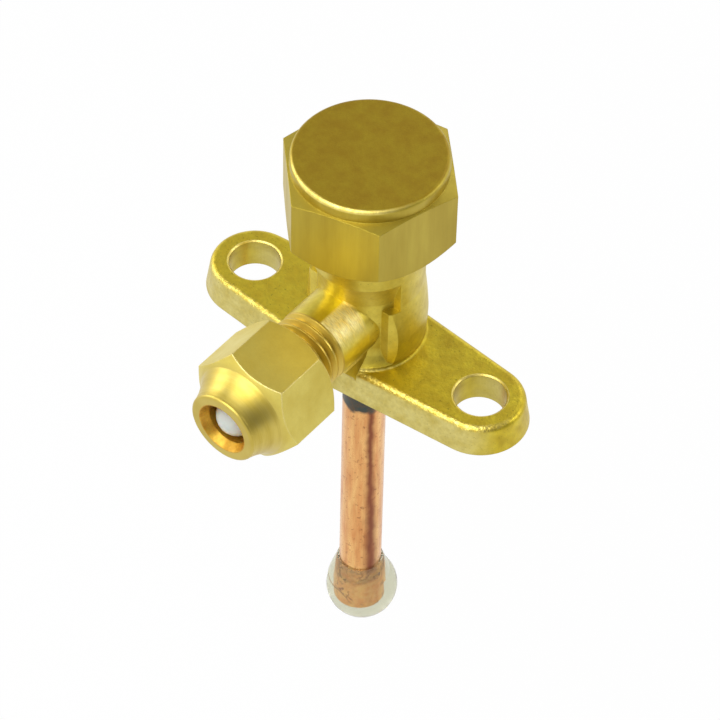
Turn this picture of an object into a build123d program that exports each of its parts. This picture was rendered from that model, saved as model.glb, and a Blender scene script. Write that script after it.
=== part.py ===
"""Refrigerant service valve for a 1/4 inch line: a two-way flare stop valve with a fixing flange.

A forged brass body stands on a lozenge flange. A hexagon cap covers the screwed stem on top, a flare
nut closes the side port, and a copper stub tube is brazed into the underside.

Frame, in millimetres: the origin is on the flange's underside, on the common axis of stem and tube.
+Z runs up to the cap, +X runs along the flange from hole to hole, and the port points along -Y.
"""
from build123d import *
from math import cos, radians, sin, sqrt, tan
import os

# ---- driving dimensions ----------------------------------------------------------------------------
# Fixing flange
FLANGE_THICK = 4.67
HOLE_PITCH = 40.8
HOLE_R = 3.75
HOLE_CHAMFER = 0.2
EAR_R = 7.1              # round ends, at the underside
WAIST_R = 8.9            # middle of the flange, at the underside
DRAFT_DEG = 9.0          # forging draft of the side walls
FLANGE_EDGE_R = 1.05

# Forged barrel, cut back to a slimmer core on the port side
FOOT_R = 8.4             # ring where the barrel meets the flange
FOOT_FLARE = 0.45
FOOT_DEPTH_Z = 1.0       # the barrel is sunk into the flange down to here
FOOT_SINK = 0.6          # and drawn in by this much there
FOOT_ARC = 0.3           # bow of the foot's small flare, as a share of it
BELLY_R = 8.72
BELLY_Z = 9.7
BELLY_LOW_AT = (8.6, 6.9)     # radius and height on the way up to the belly
BELLY_HIGH_AT = (8.52, 12.6)  # and on the way to the straight top
BARREL_R = 8.15
BARREL_START_Z = 16.0
BARREL_TOP_Z = 23.8
LUG_TOP_Z = 15.2         # the cut-back is widest below this height
LUG_FRONT_Y = -4.05
LUG_FRONT_HALF = 7.0     # half width of the lugs' front faces, up to their bevels
LUG_BEVEL = (1.0, 0.85)
LUG_UPPER_Y = -2.4
CORE_R = 7.0
CORE_TOP_Z = 16.4
CORE_FOOT_RISE = 1.9     # height of the core's foot curve over its width
CORE_FOOT_AT = (0.42, 0.62)  # point on that curve, as shares of the width
CORE_BLEND_BOW = 0.36    # bow of the upper flare, as a share of its width
CORE_BLEND_Z = 20.6      # the core has flared out to the barrel here

# Threaded neck for the cap, M16 x 1.5
NECK_R = 7.95
NECK_ROOT_R = 7.1
NECK_PITCH = 1.5
NECK_THREAD_Z = 25.2
NECK_RELIEF = 0.5
NECK_TURNS = 5
NECK_TOP_Z = 33.8
NECK_CHAMFER = 0.8

# Side port, 1/4 inch SAE flare, 7/16-20 thread
PORT_Z = 10.88
BOSS_R = 5.6
BOSS_END_Y = -11.8
BOSS_WEB_HALF = 4.5
WEB_ROOT_Y = -7.2
WEB_FOOT_Y = -8.4
WEB_FOOT_Z = 4.2
WEB_FRONT_Z = 8.2
WEB_SET_BACK = 0.4       # the web's front stays behind the boss's end by this
THREAD_R = 5.55
THREAD_ROOT_R = 4.85
THREAD_PITCH = 1.27
THREAD_START_Y = -12.1
THREAD_TURNS = 9
THREAD_END_Y = -24.4
SPIGOT_BEVEL = 0.6
FLARE_ROOT_R = 4.9
PORT_BORE_R = 2.4
FLARE_MOUTH = 0.15       # the flare cone stops this far outside the bore

# Bores up the middle of the body
SOCKET_R = 3.2
SOCKET_DEPTH = 4.6
SEAT_HOLE_R = 2.1
SEAT_Z = 7.9             # where the seat cone opens into the chamber
CHAMBER_R = 3.4
CHAMBER_TOP_Z = 14.0
CHAMBER_BEVEL = 0.6
STEM_THREAD_BORE_R = 4.05
GLAND_Z = 19.3           # bottom of the smooth gland bore
GLAND_R = 5.0
GLAND_BEVEL = 0.9
RING_GROOVE_R = 5.5
RING_GROOVE_Z = 31.1
RING_GROOVE_W = 1.1

# Valve stem
STEM_TIP_R = 1.4
STEM_SHANK_R = 3.05
STEM_SHANK_TOP_Z = 14.4
STEM_THREAD_R = 4.0
STEM_THREAD_Z = 15.2
STEM_THREAD_END_Z = 18.5
STEM_ROOT_R = 3.45
STEM_PITCH = 1.0
STEM_TURNS = 3
STEM_COLLAR_R = 4.95
STEM_COLLAR_Z = 19.6
STEM_BEVEL = 0.4
STEM_TOP_Z = 26.0
SEAT_HALF_ANGLE = 30.0
SEAT_GAP = 0.03
KEY_AF = 4.0
KEY_DEPTH = 4.5
SEAL_GROOVE_Z = 22.2
SEAL_GROOVE_W = 1.6
SEAL_GROOVE_R = 3.55
SEAL_CORD_R = 0.67
SEAL_PITCH_R = 4.29

# Retaining ring over the stem
RING_OUT_R = 5.46
RING_IN_R = 3.9
RING_THICK = 1.0
RING_GAP_DEG = 50.0
RING_EYE_R = 0.95
RING_EYE_HOLE_R = 0.45
RING_EYE_INSET = 0.25    # eye centres stand outside the ring's inner edge by this
RING_EYE_TURN_DEG = 6.0  # and this far round from the gap's ends

# Hexagon cap
CAP_BOTTOM_Z = 25.9
CAP_HEX_Z = 27.8         # lower ends of the hexagon's corners
CAP_SHOULDER_Z = 36.7    # upper ends of the hexagon's corners
CAP_BAND_Z = 37.15
CAP_TOP_Z = 39.2
CAP_CORNER_R = 13.05
CAP_BAND_R = 11.0
CAP_RIM_R = 11.05
CAP_TURN_DEG = -46.0
CAP_EDGE_R = 0.6
CAP_BORE_R = 8.0
CAP_CEILING_Z = 34.8
CAP_MOUTH = 0.6

# Cap gasket
GASKET_OUT_R = 7.7
GASKET_IN_R = 5.3

# Flare nut
NUT_BACK_Y = -17.2
NUT_HEX_BACK_Y = -18.2
NUT_HEX_FRONT_Y = -26.2
NUT_NOSE_Y = -31.8
NUT_CORNER_R = 8.98
NUT_SHOULDER_R = 7.3     # the hexagon's front bevel ends here and the waisted neck starts
NUT_SHOULDER_Y = -27.55
NUT_WAIST_R = 6.15
NUT_WAIST_Y = -29.4
NUT_NOSE_R = 5.5
NUT_BACK_R = 7.75
NUT_TURN_DEG = -12.0
NUT_BORE_R = 5.6
NUT_SEAT_Y = -25.1
NUT_TUBE_R = 3.3
NUT_MOUTH_R = 3.95
NUT_MOUTH_LEN = 1.3
NUT_BACK_BEVEL = 0.5
NUT_RIM_BAND = 0.5       # short straight length at the nose, rounded off almost to its back
NUT_RIM_R = 0.48

# Closing plug between port and nut
PLUG_GAP = 0.06
PLUG_SKIRT_R = 5.3
PLUG_CORE_R = 1.6
PLUG_LIP = 0.4
PLUG_NOSE_R = 2.95
PLUG_NOSE_Y = -31.4

# Copper stub tube with its brazed joint and end cap
TUBE_R = 3.175
TUBE_WALL = 0.8
TUBE_END_Z = -54.8
BRAZE_R = 4.5
BRAZE_H = 1.3
BRAZE_HOLLOW = 0.29      # depth of the fillet's hollow, as a share of its size
END_BALL_R = 5.42
END_BALL_AT = (0.28, 0.21, -53.1)   # the soft ball sits a little to one side
END_NECK = [(3.42, -46.3), (3.8, -47.5), (4.5, -49.6), (4.82, -50.8)]   # outline of the gripping neck
END_BORE_R = 3.225
END_STOP_Z = -54.9

# Drawing aids
THREAD_FLAT = 0.08       # half of a thread crest's flat, as a share of the pitch
OUTLINE_CLEAR = 0.01     # trimming outlines stand this far outside hexagon corners
STANDING = (Align.CENTER, Align.CENTER, Align.MIN)   # placed by the middle of its foot


# ---- helpers ---------------------------------------------------------------------------------------
def turned(points):
    """Revolve a closed outline of (radius, height) points about Z."""
    return revolve(make_face(Plane.XZ * Polyline(*points, close=True)), Axis.Z)


def along_port(points):
    """Revolve (radius, reach) points, with reach measured along -Y, about the port's axis."""
    return Location((0, 0, PORT_Z)) * Rot(X=90) * turned(points)


def bore(radius, bottom, top):
    """A plain round hole on the Z axis."""
    return Pos(0, 0, bottom) * Cylinder(radius, top - bottom, align=STANDING)


def groove_points(crest_r, root_r, start, pitch, turns):
    """Outline points of V thread grooves cut into a spigot, going up from start."""
    points = []
    for turn in range(turns):
        low = start + turn * pitch
        flat = THREAD_FLAT * pitch
        points += [(crest_r, low + flat), (root_r, low + pitch / 2), (crest_r, low + pitch - flat)]
    return points


def save(name, shape):
    """Write one node's STEP file under parts/."""
    shape.label = name
    export_step(shape, f"parts/{name}.step")


# ---- body ------------------------------------------------------------------------------------------
def waist_face(waist_r, ear_r, height):
    """The eight-sided face between the tangent points of the middle circle and the ear circles."""
    tilt = (waist_r - ear_r) / (HOLE_PITCH / 2)
    lean = sqrt(1 - tilt ** 2)
    inner = (waist_r * tilt, waist_r * lean)
    outer = (HOLE_PITCH / 2 + ear_r * tilt, ear_r * lean)
    quarter = [(inner[0], inner[1]), (outer[0], outer[1]), (outer[0], -outer[1]), (inner[0], -inner[1])]
    points = quarter + [(-x, -y) for x, y in quarter]
    return Pos(0, 0, height) * make_face(Polyline(*points, close=True))


def make_flange():
    """Lozenge plate: middle and ear circles joined by tangent walls, drafted and rounded on top."""
    shrink = FLANGE_THICK * tan(radians(DRAFT_DEG))
    plate = loft([waist_face(WAIST_R, EAR_R, 0), waist_face(WAIST_R - shrink, EAR_R - shrink, FLANGE_THICK)],
                 ruled=True)
    plate += Cone(WAIST_R, WAIST_R - shrink, FLANGE_THICK, align=STANDING)
    for side in (-1, 1):
        plate += Pos(side * HOLE_PITCH / 2, 0) * Cone(EAR_R, EAR_R - shrink, FLANGE_THICK, align=STANDING)
    plate = fillet(plate.faces().sort_by(Axis.Z)[-1].edges(), FLANGE_EDGE_R)
    for side in (-1, 1):
        hole = bore(HOLE_R, -1, FLANGE_THICK + 1)
        rim = Pos(0, 0, FLANGE_THICK - HOLE_CHAMFER) * Cone(
            HOLE_R, HOLE_R + 2 * HOLE_CHAMFER, 2 * HOLE_CHAMFER, align=STANDING)
        plate -= Pos(side * HOLE_PITCH / 2, 0) * (hole + rim)
    return plate


def foot_line():
    """Outline from the axis inside the flange to the top of the foot's small flare."""
    bow = FOOT_ARC * FOOT_FLARE
    edge = (FOOT_R + FOOT_FLARE, FLANGE_THICK)
    sunk = Polyline((0, FOOT_DEPTH_Z), (FOOT_R - FOOT_SINK, FOOT_DEPTH_Z), edge)
    return sunk + ThreePointArc(edge, (FOOT_R + bow, FLANGE_THICK + bow), (FOOT_R, FLANGE_THICK + FOOT_FLARE))


def make_barrel():
    """Bellied barrel, with bevelled lugs where its front is cut away beside the port."""
    foot_z = FLANGE_THICK + FOOT_FLARE
    profile = Plane.XZ * (
        foot_line()
        + ThreePointArc((FOOT_R, foot_z), BELLY_LOW_AT, (BELLY_R, BELLY_Z))
        + ThreePointArc((BELLY_R, BELLY_Z), BELLY_HIGH_AT, (BARREL_R, BARREL_START_Z))
        + Polyline((BARREL_R, BARREL_START_Z), (BARREL_R, CORE_BLEND_Z), (0, CORE_BLEND_Z), (0, FOOT_DEPTH_Z))
    )
    bevel_x, bevel_y = LUG_BEVEL
    wide = 2 * BELLY_R
    half = [(LUG_FRONT_HALF, LUG_FRONT_Y), (LUG_FRONT_HALF + bevel_x, LUG_FRONT_Y + bevel_y),
            (wide, LUG_FRONT_Y + bevel_y), (wide, wide)]
    lugs = extrude(make_face(Polyline(*half, *[(-x, y) for x, y in reversed(half)], close=True)), LUG_TOP_Z)
    behind = (Align.CENTER, Align.MIN, Align.MIN)
    upper = Pos(0, LUG_UPPER_Y, 0) * Box(2 * wide, wide, CORE_BLEND_Z, align=behind)
    return revolve(make_face(profile), Axis.Z) & (lugs + upper)


def make_core():
    """Round core behind the port, flaring out to the barrel's full size above it."""
    foot_gap = FOOT_R - CORE_R
    foot_z = FLANGE_THICK + FOOT_FLARE
    core_z = foot_z + CORE_FOOT_RISE * foot_gap
    foot_mid = (CORE_R + CORE_FOOT_AT[0] * foot_gap, foot_z + CORE_FOOT_AT[1] * foot_gap)
    blend_mid = (CORE_R + CORE_BLEND_BOW * (BARREL_R - CORE_R), (CORE_TOP_Z + CORE_BLEND_Z) / 2)
    profile = Plane.XZ * (
        foot_line()
        + ThreePointArc((FOOT_R, foot_z), foot_mid, (CORE_R, core_z))
        + Polyline((CORE_R, core_z), (CORE_R, CORE_TOP_Z))
        + ThreePointArc((CORE_R, CORE_TOP_Z), blend_mid, (BARREL_R, CORE_BLEND_Z))
        + Polyline((BARREL_R, CORE_BLEND_Z), (BARREL_R, BARREL_TOP_Z), (0, BARREL_TOP_Z), (0, FOOT_DEPTH_Z))
    )
    return revolve(make_face(profile), Axis.Z)


def make_neck():
    """Neck above the barrel with the cap's thread."""
    return turned([
        (0, BARREL_TOP_Z - 1), (BARREL_R, BARREL_TOP_Z - 1), (BARREL_R, BARREL_TOP_Z),
        (NECK_ROOT_R, BARREL_TOP_Z + NECK_RELIEF), (NECK_ROOT_R, NECK_THREAD_Z - NECK_RELIEF),
        *groove_points(NECK_R, NECK_ROOT_R, NECK_THREAD_Z, NECK_PITCH, NECK_TURNS),
        (NECK_R, NECK_TOP_Z - NECK_CHAMFER), (NECK_R - NECK_CHAMFER, NECK_TOP_Z), (0, NECK_TOP_Z),
    ])


def make_port():
    """Turned boss, threaded spigot with its 45 degree flare seat, and the web down to the flange."""
    mouth_r = PORT_BORE_R + FLARE_MOUTH
    tip = -THREAD_END_Y + FLARE_ROOT_R - mouth_r
    front_y = BOSS_END_Y + WEB_SET_BACK
    spigot = along_port([
        (0, 0), (BOSS_R, 0), (BOSS_R, -BOSS_END_Y),
        *groove_points(THREAD_R, THREAD_ROOT_R, -THREAD_START_Y, THREAD_PITCH, THREAD_TURNS),
        (THREAD_R, -THREAD_END_Y - SPIGOT_BEVEL), (FLARE_ROOT_R, -THREAD_END_Y), (mouth_r, tip), (0, tip),
    ])
    side = Plane.YZ * Polyline(
        (0, FOOT_DEPTH_Z), (WEB_ROOT_Y, FOOT_DEPTH_Z), (WEB_FOOT_Y, WEB_FOOT_Z), (front_y, WEB_FRONT_Z),
        (front_y, PORT_Z), (0, PORT_Z), close=True)
    web = extrude(make_face(side), BOSS_WEB_HALF, both=True)
    return spigot + web


def cut_bores(body):
    """Tube socket, seat, chamber, stem thread, gland bore, ring groove and port passage."""
    seat_depth = (CHAMBER_R - SEAT_HOLE_R) / tan(radians(SEAT_HALF_ANGLE))
    body -= bore(SOCKET_R, -1, SOCKET_DEPTH)
    body -= turned([
        (0, 0), (SEAT_HOLE_R, 0), (SEAT_HOLE_R, SEAT_Z - seat_depth), (CHAMBER_R, SEAT_Z),
        (CHAMBER_R, CHAMBER_TOP_Z), (STEM_THREAD_BORE_R, CHAMBER_TOP_Z + CHAMBER_BEVEL),
        (STEM_THREAD_BORE_R, GLAND_Z - GLAND_BEVEL), (GLAND_R, GLAND_Z), (GLAND_R, NECK_TOP_Z + 1),
        (0, NECK_TOP_Z + 1),
    ])
    body -= bore(RING_GROOVE_R, RING_GROOVE_Z, RING_GROOVE_Z + RING_GROOVE_W)
    passage = -NUT_NOSE_Y
    return body - along_port([(0, 0), (PORT_BORE_R, 0), (PORT_BORE_R, passage), (0, passage)])


def make_valve_body():
    """The one-piece forging with all its machining."""
    body = make_flange() + make_barrel() + make_core() + make_neck() + make_port()
    return cut_bores(body)


# ---- stem ------------------------------------------------------------------------------------------
def make_valve_stem():
    """Screwed stem: seating cone, shank, thread, sealed collar and a hexagon socket for the key."""
    slope = tan(radians(SEAT_HALF_ANGLE))
    lift = SEAT_GAP / sin(radians(SEAT_HALF_ANGLE))
    seat_apex = SEAT_Z - CHAMBER_R / slope + lift
    tip_z = seat_apex + STEM_TIP_R / slope
    shank_z = seat_apex + STEM_SHANK_R / slope
    stem = turned([
        (0, tip_z), (STEM_TIP_R, tip_z), (STEM_SHANK_R, shank_z), (STEM_SHANK_R, STEM_SHANK_TOP_Z),
        *groove_points(STEM_THREAD_R, STEM_ROOT_R, STEM_THREAD_Z, STEM_PITCH, STEM_TURNS),
        (STEM_THREAD_R, STEM_THREAD_END_Z), (STEM_COLLAR_R, STEM_COLLAR_Z),
        (STEM_COLLAR_R, STEM_TOP_Z - STEM_BEVEL), (STEM_COLLAR_R - STEM_BEVEL, STEM_TOP_Z), (0, STEM_TOP_Z),
    ])
    stem -= bore(STEM_COLLAR_R + 1, SEAL_GROOVE_Z, SEAL_GROOVE_Z + SEAL_GROOVE_W) - bore(
        SEAL_GROOVE_R, SEAL_GROOVE_Z, SEAL_GROOVE_Z + SEAL_GROOVE_W)
    key = extrude(RegularPolygon(KEY_AF / 2, 6, major_radius=False), KEY_DEPTH + 1)
    return stem - Pos(0, 0, STEM_TOP_Z - KEY_DEPTH) * key


def make_stem_o_ring():
    """Round-section seal in the collar's groove."""
    return Pos(0, 0, SEAL_GROOVE_Z + SEAL_GROOVE_W / 2) * Torus(SEAL_PITCH_R, SEAL_CORD_R)


def make_stem_retaining_ring():
    """Open internal circlip with two plier eyes, sprung into the neck's groove."""
    ring = Circle(RING_OUT_R) - Circle(RING_IN_R)
    reach = 2 * RING_OUT_R
    half = RING_GAP_DEG / 2
    far_x, far_y = reach * cos(radians(half)), reach * sin(radians(half))
    ring -= make_face(Polyline((0, 0), (far_x, -far_y), (far_x, far_y), close=True))
    for side in (-1, 1):
        eye = Rot(Z=side * (half + RING_EYE_TURN_DEG)) * Pos(RING_IN_R + RING_EYE_INSET, 0)
        ring += eye * Circle(RING_EYE_R)
        ring -= eye * Circle(RING_EYE_HOLE_R)
    return Pos(0, 0, RING_GROOVE_Z) * extrude(ring, RING_THICK)


# ---- cap -------------------------------------------------------------------------------------------
def make_valve_cap():
    """Hexagon cap: the hexagon is trimmed by a turned outline, then bored from below."""
    corner = CAP_CORNER_R + OUTLINE_CLEAR
    mouth_r = CAP_BORE_R + CAP_MOUTH
    hexagon = extrude(RegularPolygon(CAP_CORNER_R, 6), CAP_TOP_Z - CAP_BOTTOM_Z)
    outline = turned([
        (0, CAP_BOTTOM_Z), (CAP_RIM_R, CAP_BOTTOM_Z), (corner, CAP_HEX_Z), (corner, CAP_SHOULDER_Z),
        (CAP_BAND_R, CAP_BAND_Z), (CAP_BAND_R, CAP_TOP_Z), (0, CAP_TOP_Z),
    ])
    cap = (Pos(0, 0, CAP_BOTTOM_Z) * Rot(Z=CAP_TURN_DEG) * hexagon) & outline
    cap = fillet(cap.edges().filter_by(GeomType.CIRCLE).group_by(Axis.Z)[-1], CAP_EDGE_R)
    cap -= turned([
        (0, CAP_BOTTOM_Z - 1), (mouth_r, CAP_BOTTOM_Z - 1), (mouth_r, CAP_BOTTOM_Z),
        (CAP_BORE_R, CAP_BOTTOM_Z + CAP_MOUTH), (CAP_BORE_R, CAP_CEILING_Z), (0, CAP_CEILING_Z),
    ])
    return cap


def make_cap_gasket():
    """Flat sealing washer between the neck's end face and the cap's ceiling."""
    washer = bore(GASKET_OUT_R, NECK_TOP_Z, CAP_CEILING_Z)
    return washer - bore(GASKET_IN_R, NECK_TOP_Z - 1, CAP_CEILING_Z + 1)


# ---- flare connection ------------------------------------------------------------------------------
def make_flare_nut():
    """Forged flare nut: hexagon, waisted nose, thread bore and 45 degree seat for the flare."""
    back, front = -NUT_BACK_Y, -NUT_NOSE_Y
    rim = front - NUT_RIM_BAND
    corner = NUT_CORNER_R + OUTLINE_CLEAR
    hexagon = Rot(Z=NUT_TURN_DEG) * extrude(RegularPolygon(NUT_CORNER_R, 6), front - back)
    hexagon = Location((0, 0, PORT_Z)) * Rot(X=90) * Pos(0, 0, back) * hexagon
    profile = Plane.XZ * (
        Polyline((0, front), (0, back), (NUT_BACK_R, back), (corner, -NUT_HEX_BACK_Y),
                 (corner, -NUT_HEX_FRONT_Y), (NUT_SHOULDER_R, -NUT_SHOULDER_Y))
        + ThreePointArc((NUT_SHOULDER_R, -NUT_SHOULDER_Y), (NUT_WAIST_R, -NUT_WAIST_Y), (NUT_NOSE_R, rim))
        + Polyline((NUT_NOSE_R, rim), (NUT_NOSE_R, front), (0, front))
    )
    nut = hexagon & (Location((0, 0, PORT_Z)) * Rot(X=90) * revolve(make_face(profile), Axis.Z))
    nut = fillet(nut.edges().filter_by(GeomType.CIRCLE).group_by(Axis.Y)[0], NUT_RIM_R)
    seat_end = -NUT_SEAT_Y + NUT_BORE_R - NUT_TUBE_R
    nut -= along_port([
        (0, back - 1), (NUT_BORE_R + NUT_BACK_BEVEL, back - 1), (NUT_BORE_R + NUT_BACK_BEVEL, back),
        (NUT_BORE_R, back + NUT_BACK_BEVEL), (NUT_BORE_R, -NUT_SEAT_Y), (NUT_TUBE_R, seat_end),
        (NUT_TUBE_R, front - NUT_MOUTH_LEN),
        (NUT_MOUTH_R, front), (NUT_MOUTH_R, front + 1), (0, front + 1),
    ])
    return nut


def make_flare_plug():
    """Round-nosed closing plug: its conical skirt is trapped between the port's flare and the nut's seat."""
    port_sum = -THREAD_END_Y + FLARE_ROOT_R + PLUG_GAP * sqrt(2)
    seat_sum = -NUT_SEAT_Y + NUT_BORE_R - PLUG_GAP * sqrt(2)
    skirt_tip = port_sum - PLUG_SKIRT_R + PLUG_LIP
    ball_at = -PLUG_NOSE_Y - PLUG_NOSE_R
    plug = turned([
        (0, port_sum - PLUG_CORE_R), (PLUG_CORE_R, port_sum - PLUG_CORE_R),
        (PLUG_SKIRT_R - PLUG_LIP, skirt_tip), (PLUG_SKIRT_R, skirt_tip),
        (PLUG_SKIRT_R, seat_sum - PLUG_SKIRT_R), (PLUG_NOSE_R, seat_sum - PLUG_NOSE_R),
        (PLUG_NOSE_R, ball_at), (0, ball_at),
    ])
    nose = Pos(0, 0, ball_at) * Sphere(PLUG_NOSE_R)
    return Location((0, 0, PORT_Z)) * Rot(X=90) * (plug + nose)


# ---- copper stub -----------------------------------------------------------------------------------
def make_connecting_tube():
    """Straight 1/4 inch copper tube, bottomed in the body's socket."""
    tube = bore(TUBE_R, TUBE_END_Z, SOCKET_DEPTH)
    return tube - bore(TUBE_R - TUBE_WALL, TUBE_END_Z - 1, SOCKET_DEPTH + 1)


def make_braze_ring():
    """Concave braze fillet between tube and flange."""
    arc_mid = (TUBE_R + BRAZE_HOLLOW * (BRAZE_R - TUBE_R), -BRAZE_HOLLOW * BRAZE_H)
    profile = Plane.XZ * (
        Polyline((TUBE_R, -BRAZE_H), (TUBE_R, 0), (BRAZE_R, 0))
        + ThreePointArc((BRAZE_R, 0), arc_mid, (TUBE_R, -BRAZE_H))
    )
    return revolve(make_face(profile), Axis.Z)


def make_tube_end_cap():
    """Soft end cap: a flared neck grips the tube above a solid ball."""
    (lip_r, lip_z), (root_r, root_z) = END_NECK[0], END_NECK[-1]
    profile = Plane.XZ * (
        Spline(*END_NECK) + Polyline((root_r, root_z), (0, root_z - 1), (0, lip_z), (lip_r, lip_z)))
    cap = revolve(make_face(profile), Axis.Z) + Pos(*END_BALL_AT) * Sphere(END_BALL_R)
    return cap - bore(END_BORE_R, END_STOP_Z, lip_z + 1)


# ---- build -----------------------------------------------------------------------------------------
NODES = {
    "valve_body": make_valve_body,
    "valve_stem": make_valve_stem,
    "stem_o_ring": make_stem_o_ring,
    "stem_retaining_ring": make_stem_retaining_ring,
    "valve_cap": make_valve_cap,
    "cap_gasket": make_cap_gasket,
    "flare_nut": make_flare_nut,
    "flare_plug": make_flare_plug,
    "connecting_tube": make_connecting_tube,
    "braze_ring": make_braze_ring,
    "tube_end_cap": make_tube_end_cap,
}

os.makedirs("parts", exist_ok=True)
for node_name, make in NODES.items():
    save(node_name, make())
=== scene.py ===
"""Dressed scene of a 1/4 inch refrigerant service valve.

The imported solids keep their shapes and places. This script gives every piece the finish of the real one,
and sets up the studio, the floor and the camera.
All lengths are metres unless a name ends in _mm.
"""
from __future__ import annotations

import logging
import math
from dataclasses import dataclass
from enum import Enum

import bpy
from mathutils import Matrix, Vector


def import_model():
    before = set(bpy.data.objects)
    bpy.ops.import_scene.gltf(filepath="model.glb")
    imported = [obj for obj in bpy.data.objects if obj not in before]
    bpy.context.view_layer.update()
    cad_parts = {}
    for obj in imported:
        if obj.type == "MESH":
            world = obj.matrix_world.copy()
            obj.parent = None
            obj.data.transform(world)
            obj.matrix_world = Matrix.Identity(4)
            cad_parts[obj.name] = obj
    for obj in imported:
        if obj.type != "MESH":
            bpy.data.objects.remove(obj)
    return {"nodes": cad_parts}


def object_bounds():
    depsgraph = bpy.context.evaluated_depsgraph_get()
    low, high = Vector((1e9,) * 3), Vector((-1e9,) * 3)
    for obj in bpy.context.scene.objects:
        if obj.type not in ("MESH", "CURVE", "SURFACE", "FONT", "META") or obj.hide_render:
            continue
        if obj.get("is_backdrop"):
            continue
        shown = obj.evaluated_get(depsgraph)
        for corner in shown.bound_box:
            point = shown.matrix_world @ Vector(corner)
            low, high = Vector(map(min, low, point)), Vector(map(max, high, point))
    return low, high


LOG = logging.getLogger("service_valve")
Socket = bpy.types.NodeSocket
Material = bpy.types.Material
Nodes = dict[str, bpy.types.Object]
Pair = tuple[float, float]
Triple = tuple[float, float, float]
MM = 0.001
WHITE = (1.0, 1.0, 1.0, 1.0)
# Inputs of a Mix node by number, since their names repeat.
SHARE, FIRST_VALUE, SECOND_VALUE, FIRST_COLOUR, SECOND_COLOUR = 0, 2, 3, 6, 7


def linear(hex_colour: str) -> tuple[float, float, float, float]:
    """Turn an sRGB hex colour into linear RGBA.

    Args:
        hex_colour: six hex digits, such as "C8A84B".

    Returns:
        The colour as linear red, green, blue and an alpha of 1.
    """
    channels = [int(hex_colour[i:i + 2], 16) / 255 for i in (0, 2, 4)]
    values = [c / 12.92 if c <= 0.04045 else ((c + 0.055) / 1.055) ** 2.4 for c in channels]
    return values[0], values[1], values[2], 1.0


def add_node(
    tree: bpy.types.NodeTree,
    kind: str,
    settings: dict[str | int, object] | None = None,
    links: dict[str | int, Socket] | None = None,
) -> bpy.types.Node:
    """Add a shader node with its settings and incoming links.

    Args:
        tree: the tree that the node joins.
        kind: the node's type name without its ShaderNode prefix.
        settings: values by property name, or by input name or number.
        links: source sockets by input name or number.

    Returns:
        The new node.
    """
    node = tree.nodes.new("ShaderNode" + kind)
    for key, value in (settings or {}).items():
        if isinstance(key, str) and hasattr(node, key):
            setattr(node, key, value)
        else:
            node.inputs[key].default_value = value
    for key, source in (links or {}).items():
        tree.links.new(source, node.inputs[key])
    return node


class Lay(Enum):
    """How the marks of the making run over a surface, as stretch of the pattern along X, Y and Z."""

    NONE = (1.0, 1.0, 1.0)
    ROUND_Y = (0.15, 6.0, 0.15)
    ROUND_Z = (0.15, 0.15, 6.0)
    SCUFFED = (0.35, 1.6, 0.35)
    ALONG_Z = (2.0, 2.0, 0.05)


class Ray(Enum):
    """Kinds of ray that the studio tells apart, by their name on the Light Path node."""

    CAMERA = "Is Camera Ray"
    TRANSMISSION = "Is Transmission Ray"
    GLOSSY = "Is Glossy Ray"


def seen_by(tree: bpy.types.NodeTree, *rays: Ray) -> Socket:
    """Mask of the rays of the given kinds.

    Args:
        tree: the tree that the mask joins.
        rays: the kinds, one or more.

    Returns:
        The mask.
    """
    path = add_node(tree, "LightPath")
    mask = path.outputs[rays[0].value]
    for ray in rays[1:]:
        either = add_node(tree, "Math", {"operation": "MAXIMUM"}, {0: mask, 1: path.outputs[ray.value]})
        mask = either.outputs[0]
    return mask


@dataclass(frozen=True)
class MetalFinish:
    """One way that a metal surface of the valve was made and how it looks.

    Attributes:
        clean: sRGB hex of the fresh metal.
        dull: sRGB hex where it has tarnished.
        rough: mean roughness.
        patch_mm: width of the tarnish patches.
        grit_mm: width of the blasting dents or tool marks.
        grit_depth_mm: their depth.
        rough_spread: how far the roughness wanders either way.
        lay: the direction of the tool marks.
        grain: how far the marks lighten and darken the colour.
        speck: share of the surface taken by small dark pits.
    """

    clean: str
    dull: str
    rough: float
    patch_mm: float
    grit_mm: float
    grit_depth_mm: float
    rough_spread: float = 0.05
    lay: Lay = Lay.NONE
    grain: float = 0.08
    speck: float = 0.0


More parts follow.
